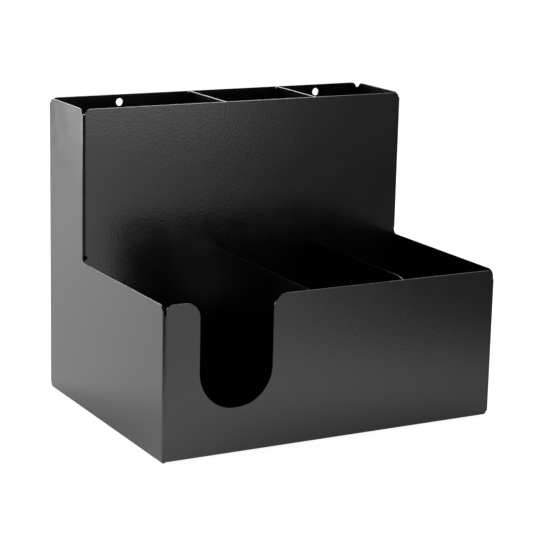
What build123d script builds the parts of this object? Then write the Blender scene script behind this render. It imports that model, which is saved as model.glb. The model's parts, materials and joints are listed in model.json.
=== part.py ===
from build123d import *
import os

# Coffee station organizer in welded and powder-coated sheet steel: a low front tray with three
# bays, and a tall rear bin with three bays behind a step wall.
# Millimetres. X runs to the right, Y to the back and Z up. The origin is the middle of the
# footprint, on the surface that the organizer stands on. The front faces -Y.

# Overall size, over the outer faces
overall_width = 305.0
overall_depth = 231.0
rear_height = 254.0
front_height = 126.0
rear_bin_depth = 74.0

# Sheet and folds
sheet = 1.2
fold_inner_radius = 0.9
edge_radius = 0.42

# Outline corners of the flat sheets
side_corner_radius = 7.0
panel_corner_radius = 5.0
step_corner_radius = 5.0
base_corner_cut = 4.3

# Clear widths of the bays, from the left. The right bay takes what is left.
front_left_bay = 127.0
front_middle_bay = 89.0
rear_left_bay = 129.5
rear_middle_bay = 86.6
divider_lead_in_radius = 14.0
divider_foot_radius = 2.0

# Finger cut in the low front, for the napkins behind it
finger_cut_width = 64.2
finger_cut_from_left = 63.3
finger_cut_bottom = 37.3
finger_cut_mouth_radius = 12.0

# Two holes for hanging the organizer on a wall
hanging_hole_diameter = 6.6
hanging_hole_from_left = 64.6
hanging_hole_from_right = 45.4
hanging_hole_drop = 6.8

# Corner welds, ground round. They stop short of the rims and leave an open notch there, which is
# deeper at the front corners than at the corners of the tall bin.
front_weld_drop = 8.4
bin_weld_drop = 4.2
step_relief_radius = 1.6
step_relief_height = 5.5

# Stitch and tack welds inside the bays
stitch_radius = 3.0
stitch_length = 16.0
stitch_rim_gap = 0.6
tack_radius = 2.0
tack_length = 2.4
tack_pitch = 37.0
weld_wall_gap = 1.5
wall_stitch_height = 52.0
tray_side_stitches = 3
bin_side_stitches = 1

# Cuts run past the faces that they open by this much
overrun = 5.0

# Bottom corners that are cut off, as left or right and front or back: the front right one and
# both at the back. The weld at the front left one is built up to a square corner.
cut_feet = [(1, -1), (-1, 1), (1, 1)]

# Places worked out from the sizes above
fold_outer_radius = fold_inner_radius + sheet
half_width = overall_width / 2
half_depth = overall_depth / 2
inner_half_width = half_width - sheet
inner_front = sheet - half_depth
inner_back = half_depth - sheet
step_face = half_depth - rear_bin_depth
step_back = step_face + sheet
step_weld_foot = front_height + step_relief_height
front_lefts = [
    front_left_bay - inner_half_width,
    front_left_bay + sheet + front_middle_bay - inner_half_width,
]
rear_lefts = [
    rear_left_bay - inner_half_width,
    rear_left_bay + sheet + rear_middle_bay - inner_half_width,
]


def block(low, high):
    # a box between its lowest and its highest corner
    size = [b - a for a, b in zip(low, high)]
    return Pos(*low) * Box(*size, align=(Align.MIN, Align.MIN, Align.MIN))


def outline(plane, points):
    # a flat face on one of the main planes, from its corner points
    return plane * make_face(Polyline(*points, close=True))


def near(shape, point):
    # the corner of a flat face that lies at the given point
    return shape.vertices().sort_by_distance(point)[0]


def soften(plate, axis):
    # the coated rim of a flat sheet, rounded on both faces
    faces = plate.faces().sort_by(axis)
    rims = faces[0].edges() + faces[-1].edges()
    return fillet(rims, edge_radius)


def side_sheet(sign, front_foot_cut):
    # one flat side with the step in its outline; the front foot is either cut or square
    front = fold_outer_radius - half_depth
    back = half_depth - fold_outer_radius
    step = step_face + fold_outer_radius
    face = outline(Plane.YZ, [
        (front, 0),
        (back, 0),
        (back, rear_height),
        (step, rear_height),
        (step, front_height),
        (front, front_height),
    ])
    rims = [
        near(face, (0, back, rear_height)),
        near(face, (0, step, rear_height)),
        near(face, (0, front, front_height)),
    ]
    face = fillet(rims, side_corner_radius)
    face = fillet(near(face, (0, step, front_height)), step_corner_radius)
    foot_cut = base_corner_cut - fold_outer_radius
    feet = [near(face, (0, back, 0))]
    if front_foot_cut:
        feet.append(near(face, (0, front, 0)))
    face = chamfer(feet, foot_cut)
    plate = soften(extrude(face, amount=sheet), Axis.X)
    left = -half_width if sign < 0 else inner_half_width
    return Pos(left, 0, 0) * plate


def wrap_section():
    # front, floor and back in one fold line, seen from the side
    outer = outline(Plane.YZ, [
        (-half_depth, 0),
        (half_depth, 0),
        (half_depth, rear_height),
        (-half_depth, rear_height),
    ])
    folds = [near(outer, (0, y, 0)) for y in (-half_depth, half_depth)]
    outer = fillet(folds, fold_outer_radius)
    inner = outline(Plane.YZ, [
        (inner_front, sheet),
        (inner_back, sheet),
        (inner_back, rear_height + overrun),
        (inner_front, rear_height + overrun),
    ])
    folds = [near(inner, (0, y, sheet)) for y in (inner_front, inner_back)]
    inner = fillet(folds, fold_inner_radius)
    spare_front = outline(Plane.YZ, [
        (-half_depth - overrun, front_height),
        (0, front_height),
        (0, rear_height + overrun),
        (-half_depth - overrun, rear_height + overrun),
    ])
    return outer - inner - spare_front


def finger_cut():
    # the U in the low front, with rounded mouth corners made later
    middle = finger_cut_from_left - half_width
    radius = finger_cut_width / 2
    hub = finger_cut_bottom + radius
    bore = Pos(middle, -half_depth, hub) * Rot(90, 0, 0) * Cylinder(radius, overrun * 2)
    slot = block(
        (middle - radius, -half_depth - overrun, hub),
        (middle + radius, overrun - half_depth, front_height + overrun),
    )
    return bore + slot


def foot_cutters(sign, end):
    # the two slanting cuts that take off one bottom corner of the body
    corner_x = sign * half_width
    corner_y = end * half_depth
    across = outline(Plane.XZ, [
        (corner_x - sign * base_corner_cut, 0),
        (corner_x + sign * overrun, base_corner_cut + overrun),
        (corner_x + sign * overrun, -overrun),
        (corner_x - sign * (base_corner_cut + overrun), -overrun),
    ])
    along = outline(Plane.YZ, [
        (corner_y - end * base_corner_cut, 0),
        (corner_y + end * overrun, base_corner_cut + overrun),
        (corner_y + end * overrun, -overrun),
        (corner_y - end * (base_corner_cut + overrun), -overrun),
    ])
    front_cut = Pos(0, corner_y, 0) * extrude(across, amount=base_corner_cut, both=True)
    side_cut = Pos(corner_x, 0, 0) * extrude(along, amount=base_corner_cut, both=True)
    return front_cut, side_cut


def main_wrap():
    # the folded sheet: low front, floor and tall back
    end = half_width - fold_outer_radius
    strip = extrude(wrap_section(), amount=end, both=True)
    strip -= finger_cut()
    cross_edges = strip.edges().filter_by(Axis.Y).filter_by(lambda e: e.length < sheet + edge_radius)
    tops = [e for e in cross_edges if abs(e.center().X) > end - edge_radius and e.center().Z > sheet]
    strip = fillet(tops, panel_corner_radius)
    mouth_low = finger_cut_from_left - half_width - finger_cut_width / 2
    mouth = [
        strip.edges().filter_by(Axis.Y).sort_by_distance((x, -half_depth, front_height))[0]
        for x in (mouth_low, mouth_low + finger_cut_width)
    ]
    strip = fillet(mouth, finger_cut_mouth_radius)
    cross_edges = strip.edges().filter_by(Axis.Y).filter_by(lambda e: e.length < sheet + edge_radius)
    fold_top = fold_outer_radius + sheet
    rims = [e for e in strip.edges() if e not in cross_edges and e.center().Z > fold_top]
    strip = fillet(rims, edge_radius)
    for sign, side_end in cut_feet:
        strip -= foot_cutters(sign, side_end)[0]
    tongue_reach = half_depth - fold_outer_radius - base_corner_cut
    for sign in (-1, 1):
        ends = sorted((sign * inner_half_width, sign * (end - edge_radius)))
        strip += block((ends[0], -tongue_reach, 0), (ends[1], tongue_reach, sheet))
    for x in (hanging_hole_from_left - half_width, half_width - hanging_hole_from_right):
        hole = Rot(90, 0, 0) * Cylinder(hanging_hole_diameter / 2, overrun * 2)
        strip -= Pos(x, half_depth, rear_height - hanging_hole_drop) * hole
    return strip


def step_wall():
    # the tall wall between the front bays and the rear bin; two relief holes clear the step
    wide = inner_half_width
    narrow = half_width - fold_outer_radius
    relief_height = step_weld_foot - step_relief_radius
    face = outline(Plane.XZ, [
        (-wide, sheet),
        (wide, sheet),
        (wide, relief_height),
        (narrow, relief_height),
        (narrow, rear_height),
        (-narrow, rear_height),
        (-narrow, relief_height),
        (-wide, relief_height),
    ])
    face = fillet([near(face, (s * narrow, 0, rear_height)) for s in (-1, 1)], panel_corner_radius)
    for sign in (-1, 1):
        relief = Pos(sign * narrow, 0, relief_height) * Rot(90, 0, 0) * Circle(step_relief_radius)
        face -= relief
    plate = extrude(face, amount=-sheet)
    return Pos(0, step_face, 0) * soften(plate, Axis.Y)


def divider(left, front, back, top, lead_in):
    # an upright sheet between two walls; its lower corners clear the folds of the wrap
    face = outline(Plane.YZ, [
        (front, sheet),
        (back, sheet),
        (back, top),
        (front, top),
    ])
    if lead_in:
        face = fillet(near(face, (0, front, top)), divider_lead_in_radius)
    feet = [near(face, (0, y, sheet)) for y in (front, back)]
    face = fillet(feet, divider_foot_radius)
    plate = soften(extrude(face, amount=sheet), Axis.X)
    return Pos(left, 0, 0) * plate


def corner_weld(sign, outer_y, inward, foot, top):
    # a ground corner weld: a quarter ring as thick as the sheet, between two upright sheets
    ring = Circle(fold_outer_radius) - Circle(fold_inner_radius)
    hub_x = sign * (half_width - fold_outer_radius)
    hub_y = outer_y + inward * fold_outer_radius
    quarter = block(
        (min(0, sign * overrun), min(0, -inward * overrun), 0),
        (max(0, sign * overrun), max(0, -inward * overrun), top - foot),
    )
    return Pos(hub_x, hub_y, foot) * (extrude(ring, amount=top - foot) & quarter)


def corner_bead(radius, length):
    # a weld bead in the corner of two walls: a quarter round with round ends, which runs along Z
    # and opens to the right and to the back
    half = length / 2
    rim = [
        Line((0, -half - radius), (0, half + radius)),
        CenterArc((0, half), radius, 0, 90),
        Line((radius, half), (radius, -half)),
        CenterArc((0, -half), radius, -90, 90),
    ]
    return revolve(Plane.XZ * make_face(rim), Axis.Z, 90)


def upright_bead(x, y, middle, turn):
    # a stitch up the corner of two walls; at a turn of 0 it opens to the right and the back
    return Pos(x, y, middle) * Rot(0, 0, turn) * corner_bead(stitch_radius, stitch_length)


def floor_bead(x, y, radius, length, turn):
    # a bead on the floor along a wall; at a turn of 0 it opens to the right, at 90 to the back
    return Pos(x, y, sheet) * Rot(0, 0, turn) * Rot(90, 0, 0) * corner_bead(radius, length)


def divider_tacks(left, front, back):
    # tacks on the floor along the left face of a divider, counted from its back end
    reach = tack_length / 2 + tack_radius
    place = back - weld_wall_gap - reach
    tacks = []
    while place > front + weld_wall_gap + reach:
        tacks.append(floor_bead(left, place, tack_radius, tack_length, 180))
        place -= tack_pitch
    return tacks


def rear_divider_welds(left):
    # floor tacks, and one stitch at each end of the top, all on the left face
    middle = rear_height - stitch_rim_gap - stitch_radius - stitch_length / 2
    welds = divider_tacks(left, step_back, inner_back)
    welds.append(upright_bead(left, inner_back, middle, 180))
    welds.append(upright_bead(left, step_back, middle, 90))
    return welds


def floor_side_welds(sign):
    # stitches on the floor along one side, spaced evenly in the front tray and in the rear bin
    spans = [
        (inner_front, step_face, tray_side_stitches),
        (step_back, inner_back, bin_side_stitches),
    ]
    x = sign * inner_half_width
    turn = 0 if sign < 0 else 180
    stitches = []
    for front, back, count in spans:
        pitch = (back - front) / (count + 1)
        for i in range(count):
            place = front + pitch * (i + 1)
            stitches.append(floor_bead(x, place, stitch_radius, stitch_length, turn))
    return stitches


def step_wall_welds():
    # stitches behind the step wall: one on the floor of each rear bay, one up each side
    lows = [-inner_half_width] + [x + sheet for x in rear_lefts]
    highs = rear_lefts + [inner_half_width]
    stitches = []
    for low, high in zip(lows, highs):
        middle = (low + high) / 2
        stitches.append(floor_bead(middle, step_back, stitch_radius, stitch_length, 90))
    stitches.append(upright_bead(-inner_half_width, step_back, wall_stitch_height, 0))
    stitches.append(upright_bead(inner_half_width, step_back, wall_stitch_height, 90))
    return stitches


nodes = {
    "main_wrap": main_wrap(),
    "left_side": side_sheet(-1, False),
    "right_side": side_sheet(1, True),
    "step_wall": step_wall(),
}

for name, left, lead_in in zip(("left", "right"), front_lefts, (False, True)):
    nodes[f"front_{name}_divider"] = divider(left, inner_front, step_face, front_height, lead_in)
    nodes[f"front_{name}_divider_tacks"] = Compound(divider_tacks(left, inner_front, step_face))

for name, left in zip(("left", "right"), rear_lefts):
    nodes[f"rear_{name}_divider"] = divider(left, step_back, inner_back, rear_height, False)
    nodes[f"rear_{name}_divider_welds"] = Compound(rear_divider_welds(left))

for name, sign in (("left", -1), ("right", 1)):
    low_top = front_height - front_weld_drop
    high_top = rear_height - bin_weld_drop
    front_weld = corner_weld(sign, -half_depth, 1, 0, low_top)
    rear_weld = corner_weld(sign, half_depth, -1, 0, high_top)
    if (sign, -1) in cut_feet:
        for cutter in foot_cutters(sign, -1):
            front_weld -= cutter
    for cutter in foot_cutters(sign, 1):
        rear_weld -= cutter
    nodes[f"front_{name}_corner_weld"] = front_weld
    nodes[f"rear_{name}_corner_weld"] = rear_weld
    nodes[f"step_{name}_corner_weld"] = corner_weld(sign, step_face, 1, step_weld_foot, high_top)
    nodes[f"{name}_floor_welds"] = Compound(floor_side_welds(sign))

nodes["step_wall_welds"] = Compound(step_wall_welds())

os.makedirs("parts", exist_ok=True)
for name, shape in nodes.items():
    shape.label = name
    export_step(shape, f"parts/{name}.step")
    print(name, round(shape.volume, 1))
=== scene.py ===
import json
import math
import bpy
import bmesh
from mathutils import Matrix, Vector, noise


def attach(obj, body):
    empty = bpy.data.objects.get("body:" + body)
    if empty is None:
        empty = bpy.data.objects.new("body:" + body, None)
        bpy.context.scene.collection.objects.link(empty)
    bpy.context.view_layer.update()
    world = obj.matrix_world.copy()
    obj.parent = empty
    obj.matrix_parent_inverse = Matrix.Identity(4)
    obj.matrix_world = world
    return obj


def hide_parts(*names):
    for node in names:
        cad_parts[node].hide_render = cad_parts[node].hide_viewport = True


# Coffee station organizer: black powder-coated sheet steel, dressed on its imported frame.
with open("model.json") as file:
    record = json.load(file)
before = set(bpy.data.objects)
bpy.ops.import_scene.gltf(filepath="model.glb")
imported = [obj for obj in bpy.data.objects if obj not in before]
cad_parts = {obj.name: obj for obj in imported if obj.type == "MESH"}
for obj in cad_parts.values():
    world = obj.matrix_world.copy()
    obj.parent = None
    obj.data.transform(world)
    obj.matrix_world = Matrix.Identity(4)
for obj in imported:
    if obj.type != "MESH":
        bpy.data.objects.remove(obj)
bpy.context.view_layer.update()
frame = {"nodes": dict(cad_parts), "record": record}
mm = 0.001
print("frame loaded,", len(frame["nodes"]), "nodes")


def freshMaterial(name):
    material = bpy.data.materials.new(name)
    material.use_nodes = True
    material.node_tree.nodes.clear()
    return material, material.node_tree


def add(tree, kind, inputs=None, **settings):
    # one node, with its sockets either linked or set
    made = tree.nodes.new(kind)
    for name, value in settings.items():
        setattr(made, name, value)
    for socket, value in (inputs or {}).items():
        if isinstance(value, bpy.types.NodeSocket):
            tree.links.new(value, made.inputs[socket])
        else:
            made.inputs[socket].default_value = value
    return made


def noiseAt(tree, place, size, detail):
    # noise whose bumps are about the given size across
    inputs = {"Vector": place, "Scale": 1 / size, "Detail": detail}
    return add(tree, "ShaderNodeTexNoise", inputs).outputs["Fac"]


def remap(tree, value, fromLow, fromHigh, toLow=0.0, toHigh=1.0):
    return add(tree, "ShaderNodeMapRange", {
        "Value": value, "From Min": fromLow, "From Max": fromHigh, "To Min": toLow, "To Max": toHigh,
    }).outputs["Result"]


def calculate(tree, operation, a, b):
    return add(tree, "ShaderNodeMath", {0: a, 1: b}, operation=operation).outputs[0]


def times(tree, a, b):
    return calculate(tree, "MULTIPLY", a, b)


def plus(tree, a, b):
    return calculate(tree, "ADD", a, b)


def vectorMath(tree, operation, a, b=(0, 0, 0)):
    return add(tree, "ShaderNodeVectorMath", {0: a, 1: b}, operation=operation).outputs


def bell(tree, value):
    # exp(-value), a soft fall to nothing
    return calculate(tree, "POWER", math.e, times(tree, value, -1.0))


def blendColour(tree, factor, low, high):
    mixed = add(tree, "ShaderNodeMix", {0: factor, 6: low, 7: high}, data_type="RGBA")
    return mixed.outputs[2]


def blendShader(tree, factor, low, high):
    return add(tree, "ShaderNodeMixShader", {0: factor, 1: low, 2: high}).outputs[0]


def addShader(tree, a, b):
    return add(tree, "ShaderNodeAddShader", {0: a, 1: b}).outputs[0]


def diffuse(tree, colour):
    return add(tree, "ShaderNodeBsdfDiffuse", {"Color": colour}).outputs[0]


def emission(tree, colour, strength):
    return add(tree, "ShaderNodeEmission", {"Color": colour, "Strength": strength}).outputs[0]


def background(tree, strength):
    return add(tree, "ShaderNodeBackground", {"Strength": strength}).outputs[0]


def byCamera(tree):
    # 1 for the rays of the camera
    return add(tree, "ShaderNodeLightPath").outputs["Is Camera Ray"]


def byMirror(tree):
    # 1 for glossy and transmission rays
    path = add(tree, "ShaderNodeLightPath").outputs
    return plus(tree, path["Is Glossy Ray"], path["Is Transmission Ray"])


# Powder coat
coatLook = {
    "deepColour": (0.0024, 0.0024, 0.0034, 1),
    "paleColour": (0.0046, 0.0045, 0.0058, 1),
    "specular": 0.85,
    "roughness": (0.19, 0.23),
    "peelSize": 2.2 * mm,
    "peelDetail": 1.5,
    "peelHeight": 0.075 * mm,
    "grainSize": 0.5 * mm,
    "grainDetail": 2.0,
    "grainHeight": 0.0012 * mm,
    "rolledStretch": (1, 1, 0.35),  # rolled sheet waves and mottles longest along Z
    "waveSize": 26 * mm,
    "waveDetail": 1.0,
    "waveHeight": 0.02 * mm,
    "mottleSize": 45 * mm,
    "cloudSize": 15 * mm,  # of the uneven gloss
    "cloudRange": (0.3, 0.7),
    "mottleRange": (0.35, 0.65),
    "fineDetail": 3.0,  # of the mottle, the gloss, the worn patches and the ground weld
    "groundSize": 1.6 * mm,
    "wearRadius": 0.7 * mm,
    "wearSamples": 4,
    "wearRange": (0.98, 0.80),  # cosine of the turn, where the rim's wear starts and is full
    "patchSize": 3 * mm,
    "patchRange": (0.45, 0.62),
    "wearColour": (0.05, 0.05, 0.052, 1),
    "wearRoughness": 0.12,
    "dustSpacing": 9 * mm,
    "dustRange": (0.028, 0.0168),  # edge and core of a speck, as shares of the spacing
    "dustShare": 0.8,
    "dustColour": (0.25, 0.25, 0.24, 1),
}


def coatHeight(tree, look, place, rolled, groundHeight):
    # orange peel, fine grain and the slow waves of rolled sheet, all as real heights
    peel = noiseAt(tree, place, look["peelSize"], look["peelDetail"])
    grain = noiseAt(tree, place, look["grainSize"], look["grainDetail"])
    wave = noiseAt(tree, rolled, look["waveSize"], look["waveDetail"])
    height = plus(tree, times(tree, peel, look["peelHeight"]), times(tree, grain, look["grainHeight"]))
    height = plus(tree, height, times(tree, wave, look["waveHeight"]))
    if groundHeight:
        ground = noiseAt(tree, place, look["groundSize"], look["fineDetail"])
        height = plus(tree, height, times(tree, ground, groundHeight))
    return height


def coatWear(tree, look, place):
    # 1 where the coat is thin on a rim, in patches
    around = add(tree, "ShaderNodeBevel", {"Radius": look["wearRadius"]}, samples=look["wearSamples"])
    facing = add(tree, "ShaderNodeNewGeometry").outputs["Normal"]
    turned = vectorMath(tree, "DOT_PRODUCT", around.outputs[0], facing)["Value"]
    patches = noiseAt(tree, place, look["patchSize"], look["fineDetail"])
    rim = remap(tree, turned, *look["wearRange"])
    return times(tree, rim, remap(tree, patches, *look["patchRange"]))


def coatDust(tree, look, place):
    # 1 on the rare small specks
    cells = add(tree, "ShaderNodeTexVoronoi", {"Vector": place, "Scale": 1 / look["dustSpacing"]})
    speck = remap(tree, cells.outputs["Distance"], *look["dustRange"])
    drawn = add(tree, "ShaderNodeSeparateColor", {0: cells.outputs["Color"]}).outputs[0]
    return times(tree, speck, calculate(tree, "LESS_THAN", drawn, look["dustShare"]))


def powderCoat(name, look, groundHeight=0.0):
    material, tree = freshMaterial(name)
    place = add(tree, "ShaderNodeTexCoord").outputs["Object"]
    stretch = {"Vector": place, "Scale": look["rolledStretch"]}
    rolled = add(tree, "ShaderNodeMapping", stretch).outputs[0]
    height = coatHeight(tree, look, place, rolled, groundHeight)
    bump = add(tree, "ShaderNodeBump", {"Height": height, "Distance": 1.0, "Strength": 1.0})
    wear = coatWear(tree, look, place)
    mottle = noiseAt(tree, rolled, look["mottleSize"], look["fineDetail"])
    mottle = remap(tree, mottle, *look["mottleRange"])
    colour = blendColour(tree, mottle, look["deepColour"], look["paleColour"])
    colour = blendColour(tree, wear, colour, look["wearColour"])
    colour = blendColour(tree, coatDust(tree, look, place), colour, look["dustColour"])
    cloud = noiseAt(tree, place, look["cloudSize"], look["fineDetail"])
    rough = remap(tree, cloud, *look["cloudRange"], *look["roughness"])
    rough = plus(tree, rough, times(tree, wear, look["wearRoughness"]))
    shader = add(tree, "ShaderNodeBsdfPrincipled", {
        "Base Color": colour,
        "Roughness": rough,
        "Specular IOR Level": look["specular"],
        "Normal": bump.outputs[0],
    })
    add(tree, "ShaderNodeOutputMaterial", {"Surface": shader.outputs[0]})
    return material


coats = {
    "coated_sheet": powderCoat("powderCoatSheet", coatLook),
    "coated_weld": powderCoat("powderCoatWeld", coatLook, groundHeight=0.02 * mm),
}
slotOf = {part["node"]: part["material_slot"] for part in frame["record"]["subparts"]}
for name, node in frame["nodes"].items():
    node.material_slots[0].material = coats[slotOf[name]]
print("powder coat on", len(frame["nodes"]), "nodes")


# Weld beads: each stitch and tack of the CAD is laid again as a rippled bead in the same corner
beadLook = {
    "pitch": 1.1 * mm,  # from one ripple to the next
    "stepsPerPitch": 6,
    "leastSteps": 8,
    "rippleDepth": 0.09,  # this and the next are shares of the bead's radius
    "lumpDepth": 0.08,
    "lumpSize": 2.5 * mm,
    "bow": 0.45,  # how far the middle of a ripple runs ahead, as a share of its place outwards
    "fanSteps": 10,
    "mergeWithin": 0.001 * mm,
    "sharpFrom": math.radians(50),
}


def looseParts(bm):
    # the groups of joined vertices, in the order of the mesh
    seen = set()
    groups = []
    for first in bm.verts:
        if first in seen:
            continue
        seen.add(first)
        group = [first]
        for vert in group:
            for edge in vert.link_edges:
                other = edge.other_vert(vert)
                if other not in seen:
                    seen.add(other)
                    group.append(other)
        groups.append(group)
    return groups


def beadProfile(bm, look, radius, reach):
    # half of the bead's lengthwise section, rippled and round at both ends
    count = max(look["leastSteps"], round(2 * reach / look["pitch"] * look["stepsPerPitch"]))
    rim = []
    for step in range(count + 1):
        z = reach * (2 * step / count - 1)
        inEnd = max(0.0, abs(z) - (reach - radius))
        full = math.sqrt(max(0.0, radius ** 2 - inEnd ** 2))
        ripple = 0.5 - 0.5 * math.cos(2 * math.pi * z / look["pitch"])
        rim.append(bm.verts.new((full * (1 - look["rippleDepth"] * ripple), 0, z)))
    profile = bm.faces.new(rim)
    return [profile] + list(profile.verts) + list(profile.edges)


def arm(axis, length=1):
    made = Vector((0, 0, 0))
    made[axis] = length
    return made


def layBead(bm, look, spots):
    # spots are the points of the CAD bead, whose two tips lie on the line of the corner
    low = Vector([min(spot[i] for spot in spots) for i in range(3)])
    high = Vector([max(spot[i] for spot in spots) for i in range(3)])
    extent = high - low
    along = max(range(3), key=lambda i: extent[i])
    across = [i for i in range(3) if i != along]
    tip = max(spots, key=lambda spot: spot[along])
    radius = extent[across[0]]
    reach = extent[along] / 2
    centre = tip.copy()
    centre[along] = (low[along] + high[along]) / 2
    made = beadProfile(bm, look, radius, reach)
    quarter = math.pi / 2
    steps = look["fanSteps"]
    bmesh.ops.spin(bm, geom=made, cent=(0, 0, 0), axis=(0, 0, 1), angle=quarter, steps=steps)
    turn = Matrix.Identity(3)
    for column, i in enumerate(across):
        turn.col[column] = arm(i, 1 if low[i] + high[i] > 2 * tip[i] else -1)
    turn.col[2] = arm(along)
    for vert in bm.verts:
        if vert.tag:
            continue
        vert.tag = True
        x, y, z = vert.co
        out = math.hypot(x, y)
        ahead = 2 * x * y / out ** 2 if out else 0.0  # 1 in the bead's middle, 0 at both walls
        z += look["bow"] * ahead * (1 - (z / reach) ** 2) * out
        place = centre + turn @ Vector((x, y, z))
        lump = noise.noise(place / look["lumpSize"]) * 0.5 + 0.5
        vert.co = place - turn @ Vector((x, y, 0)) * look["lumpDepth"] * lump


def makeBeads(look, nodeName):
    source = bmesh.new()
    source.from_mesh(frame["nodes"][nodeName].data)
    bmesh.ops.remove_doubles(source, verts=source.verts, dist=look["mergeWithin"])
    bm = bmesh.new()
    for group in looseParts(source):
        layBead(bm, look, [vert.co.copy() for vert in group])
    source.free()
    bmesh.ops.remove_doubles(bm, verts=bm.verts, dist=look["mergeWithin"])
    bmesh.ops.recalc_face_normals(bm, faces=bm.faces)
    mesh = bpy.data.meshes.new(nodeName + "_beads")
    bm.to_mesh(mesh)
    bm.free()
    mesh.shade_smooth()
    mesh.set_sharp_from_angle(angle=look["sharpFrom"])
    mesh.materials.append(coats["coated_weld"])
    piece = bpy.data.objects.new(mesh.name, mesh)
    bpy.context.scene.collection.objects.link(piece)
    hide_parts(nodeName)
    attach(piece, "root")


beadNodes = [
    "front_left_divider_tacks",
    "front_right_divider_tacks",
    "rear_left_divider_welds",
    "rear_right_divider_welds",
    "left_floor_welds",
    "right_floor_welds",
    "step_wall_welds",
]
for nodeName in beadNodes:
    makeBeads(beadLook, nodeName)
print("rippled beads for", len(beadNodes), "groups of welds")


# Floor: plain and pale. The camera sees it white with its shadow kept, and the coat mirrors
# painted pools of light, a glow on the floor that only mirroring rays see, dimmer on the right than on
# the left.
floorLook = {
    "side": 9.0,
    "drop": 0.2 * mm,
    "colour": (0.78, 0.78, 0.78, 1),
    "shadeColour": (0.30, 0.30, 0.30, 1),  # what of it the camera sees lit and in shadow
    "glow": 0.93,
    "mirroredShade": (0.15, 0.15, 0.15, 1),
    "white": (1, 1, 1, 1),
    # painted pools of light: their tint and the glow of each, seen only by the mirroring coat
    "paintedPoolColour": (1.0, 0.985, 1.01, 1),
    "pools": [
        {"x": -0.21, "y": 0.21, "radius": 0.16, "strength": 1.0},  # back left, near to far
        {"x": -0.30, "y": 0.47, "radius": 0.26, "strength": 1.0},
        {"x": -0.55, "y": 0.95, "radius": 0.42, "strength": 1.0},
        {"x": 0.0, "y": 1.10, "radius": 0.42, "strength": 1.0},  # behind
        {"x": 0.0, "y": 2.20, "radius": 0.90, "strength": 1.0},
        {"x": -0.30, "y": 0.0, "radius": 0.16, "strength": 0.56},  # left
        {"x": -0.21, "y": -0.21, "radius": 0.16, "strength": 0.93},
        {"x": 0.03, "y": -0.28, "radius": 0.16, "strength": 0.66},  # front, near to far
        {"x": 0.0, "y": -0.60, "radius": 0.22, "strength": 0.92},
        {"x": 0.12, "y": -0.90, "radius": 0.21, "strength": 1.0},
        {"x": 0.38, "y": -1.32, "radius": 0.24, "strength": 0.42},
        {"x": 1.00, "y": -1.50, "radius": 0.32, "strength": 0.50},
        {"x": 0.21, "y": -0.21, "radius": 0.16, "strength": 0.34},  # front right
        {"x": 0.42, "y": 0.02, "radius": 0.20, "strength": 0.45},  # right
        {"x": 0.85, "y": 0.10, "radius": 0.34, "strength": 0.55},
    ],
}


def paintedLightPools(tree, pools):
    # the painted pools of light together, nowhere over white
    place = add(tree, "ShaderNodeTexCoord").outputs["Object"]
    total = 0.0
    for pool in pools:
        apart = vectorMath(tree, "SUBTRACT", place, (pool["x"], pool["y"], 0))["Vector"]
        share = times(tree, vectorMath(tree, "LENGTH", apart)["Value"], 1 / pool["radius"])
        light = times(tree, bell(tree, times(tree, share, share)), pool["strength"])
        total = plus(tree, light, total)
    return calculate(tree, "MINIMUM", total, 1.0)


def floorMaterial(look):
    material, tree = freshMaterial("paleFloor")
    glow = emission(tree, look["white"], look["glow"])
    seen = addShader(tree, diffuse(tree, look["shadeColour"]), glow)
    # painted light: the pools glow for mirroring rays only, lit by no lamp
    pools = emission(tree, look["paintedPoolColour"], paintedLightPools(tree, look["pools"]))
    mirrored = addShader(tree, diffuse(tree, look["mirroredShade"]), pools)
    surface = blendShader(tree, byMirror(tree), diffuse(tree, look["colour"]), mirrored)
    surface = blendShader(tree, byCamera(tree), surface, seen)
    add(tree, "ShaderNodeOutputMaterial", {"Surface": surface})
    material.cycles.emission_sampling = "NONE"  # the coat finds the pools by its own mirroring
    return material


def makeFloor(look):
    bm = bmesh.new()
    bmesh.ops.create_grid(bm, x_segments=1, y_segments=1, size=look["side"] / 2)
    bmesh.ops.translate(bm, verts=bm.verts, vec=(0, 0, -look["drop"]))
    mesh = bpy.data.meshes.new("floor")
    bm.to_mesh(mesh)
    bm.free()
    floor = bpy.data.objects.new("floor", mesh)
    bpy.context.scene.collection.objects.link(floor)
    mesh.materials.append(floorMaterial(look))


makeFloor(floorLook)

# World: white for the camera, a white backdrop low at the back for the mirroring coat,
# and a plain soft light on the object
worldLook = {
    "ambient": 0.3,
    "white": 1.0,
    "backdropWay": (0.42, 0.90, 0.10),
    "backdropTightness": 6.0,
    "backdropGlow": 0.9,
}


def makeWorld(look):
    world = bpy.data.worlds.new("studio")
    bpy.context.scene.world = world
    world.use_nodes = True
    world.cycles.sampling_method = "NONE"
    tree = world.node_tree
    tree.nodes.clear()
    way = add(tree, "ShaderNodeTexCoord").outputs["Generated"]
    middle = tuple(Vector(look["backdropWay"]).normalized())
    facing = vectorMath(tree, "DOT_PRODUCT", way, middle)["Value"]
    away = times(tree, plus(tree, times(tree, facing, -1.0), 1.0), look["backdropTightness"])
    backdrop = background(tree, times(tree, bell(tree, away), look["backdropGlow"]))
    around = blendShader(tree, byMirror(tree), background(tree, look["ambient"]), backdrop)
    around = blendShader(tree, byCamera(tree), around, background(tree, look["white"]))
    add(tree, "ShaderNodeOutputWorld", {"Surface": around})


makeWorld(worldLook)

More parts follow.
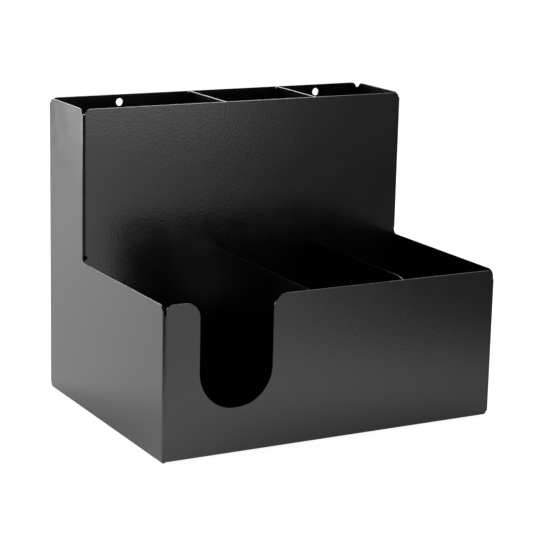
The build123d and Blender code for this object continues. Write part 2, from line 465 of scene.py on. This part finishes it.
# Lamps: softboxes that face the middle of the organizer. Angles in degrees, sizes in metres,
# powers in watts. The azimuth is 0 straight in front and 90 to the right.
lampAim = Vector((0, 0, 0.11))
lampKeys = ("name", "azimuth", "elevation", "distance", "side", "power")
lampRows = [
    ("backLeftSoftbox", -135, 10, 1.1, 0.5, 7.0),
    ("frontSoftbox", 15, 10, 1.1, 0.5, 1.3),
    ("rimSoftbox", 165, 30, 1.5, 0.9, 12.0),
    ("topSoftbox", 130, 58, 1.4, 0.9, 10.0),
]


def makeLamp(look):
    data = bpy.data.lights.new(look["name"], "AREA")
    data.shape = "SQUARE"
    data.size = look["side"]
    data.energy = look["power"]
    lamp = bpy.data.objects.new(look["name"], data)
    bpy.context.scene.collection.objects.link(lamp)
    a, e = (math.radians(look[k]) for k in ("azimuth", "elevation"))
    way = Vector((math.sin(a) * math.cos(e), -math.cos(a) * math.cos(e), math.sin(e)))
    lamp.location = lampAim + look["distance"] * way
    lamp.rotation_euler = (lampAim - lamp.location).to_track_quat("-Z", "Y").to_euler()
    lamp.visible_camera = False


for row in lampRows:
    makeLamp(dict(zip(lampKeys, row)))
print("floor, world and", len(lampRows), "softboxes")

# Camera, from the fit to the photograph's corners
viewpoint = {
    "place": (-0.74681, -1.36746, 0.48248),
    "azimuth": -28.691,
    "elevation": 13.275,
    "roll": 1.323,
    "focalPixels": 1883.4,
    "imageSide": 540,
    "sensor": 36.0,
}


def makeCamera(look):
    a, e, r = (math.radians(look[k]) for k in ("azimuth", "elevation", "roll"))
    ahead = Vector((-math.sin(a) * math.cos(e), math.cos(a) * math.cos(e), -math.sin(e)))
    across = Vector((math.cos(a), math.sin(a), 0))
    above = across.cross(ahead)
    right = math.cos(r) * across + math.sin(r) * above
    up = math.cos(r) * above - math.sin(r) * across
    data = bpy.data.cameras.new("camera")
    data.sensor_width = look["sensor"]
    data.lens = look["focalPixels"] * look["sensor"] / look["imageSide"]
    camera = bpy.data.objects.new("camera", data)
    bpy.context.scene.collection.objects.link(camera)
    turn = Matrix((right, up, -ahead)).transposed().to_4x4()
    camera.matrix_world = Matrix.Translation(Vector(look["place"])) @ turn
    bpy.context.scene.camera = camera


makeCamera(viewpoint)
bpy.context.scene.view_settings.view_transform = "Standard"
print("camera set")
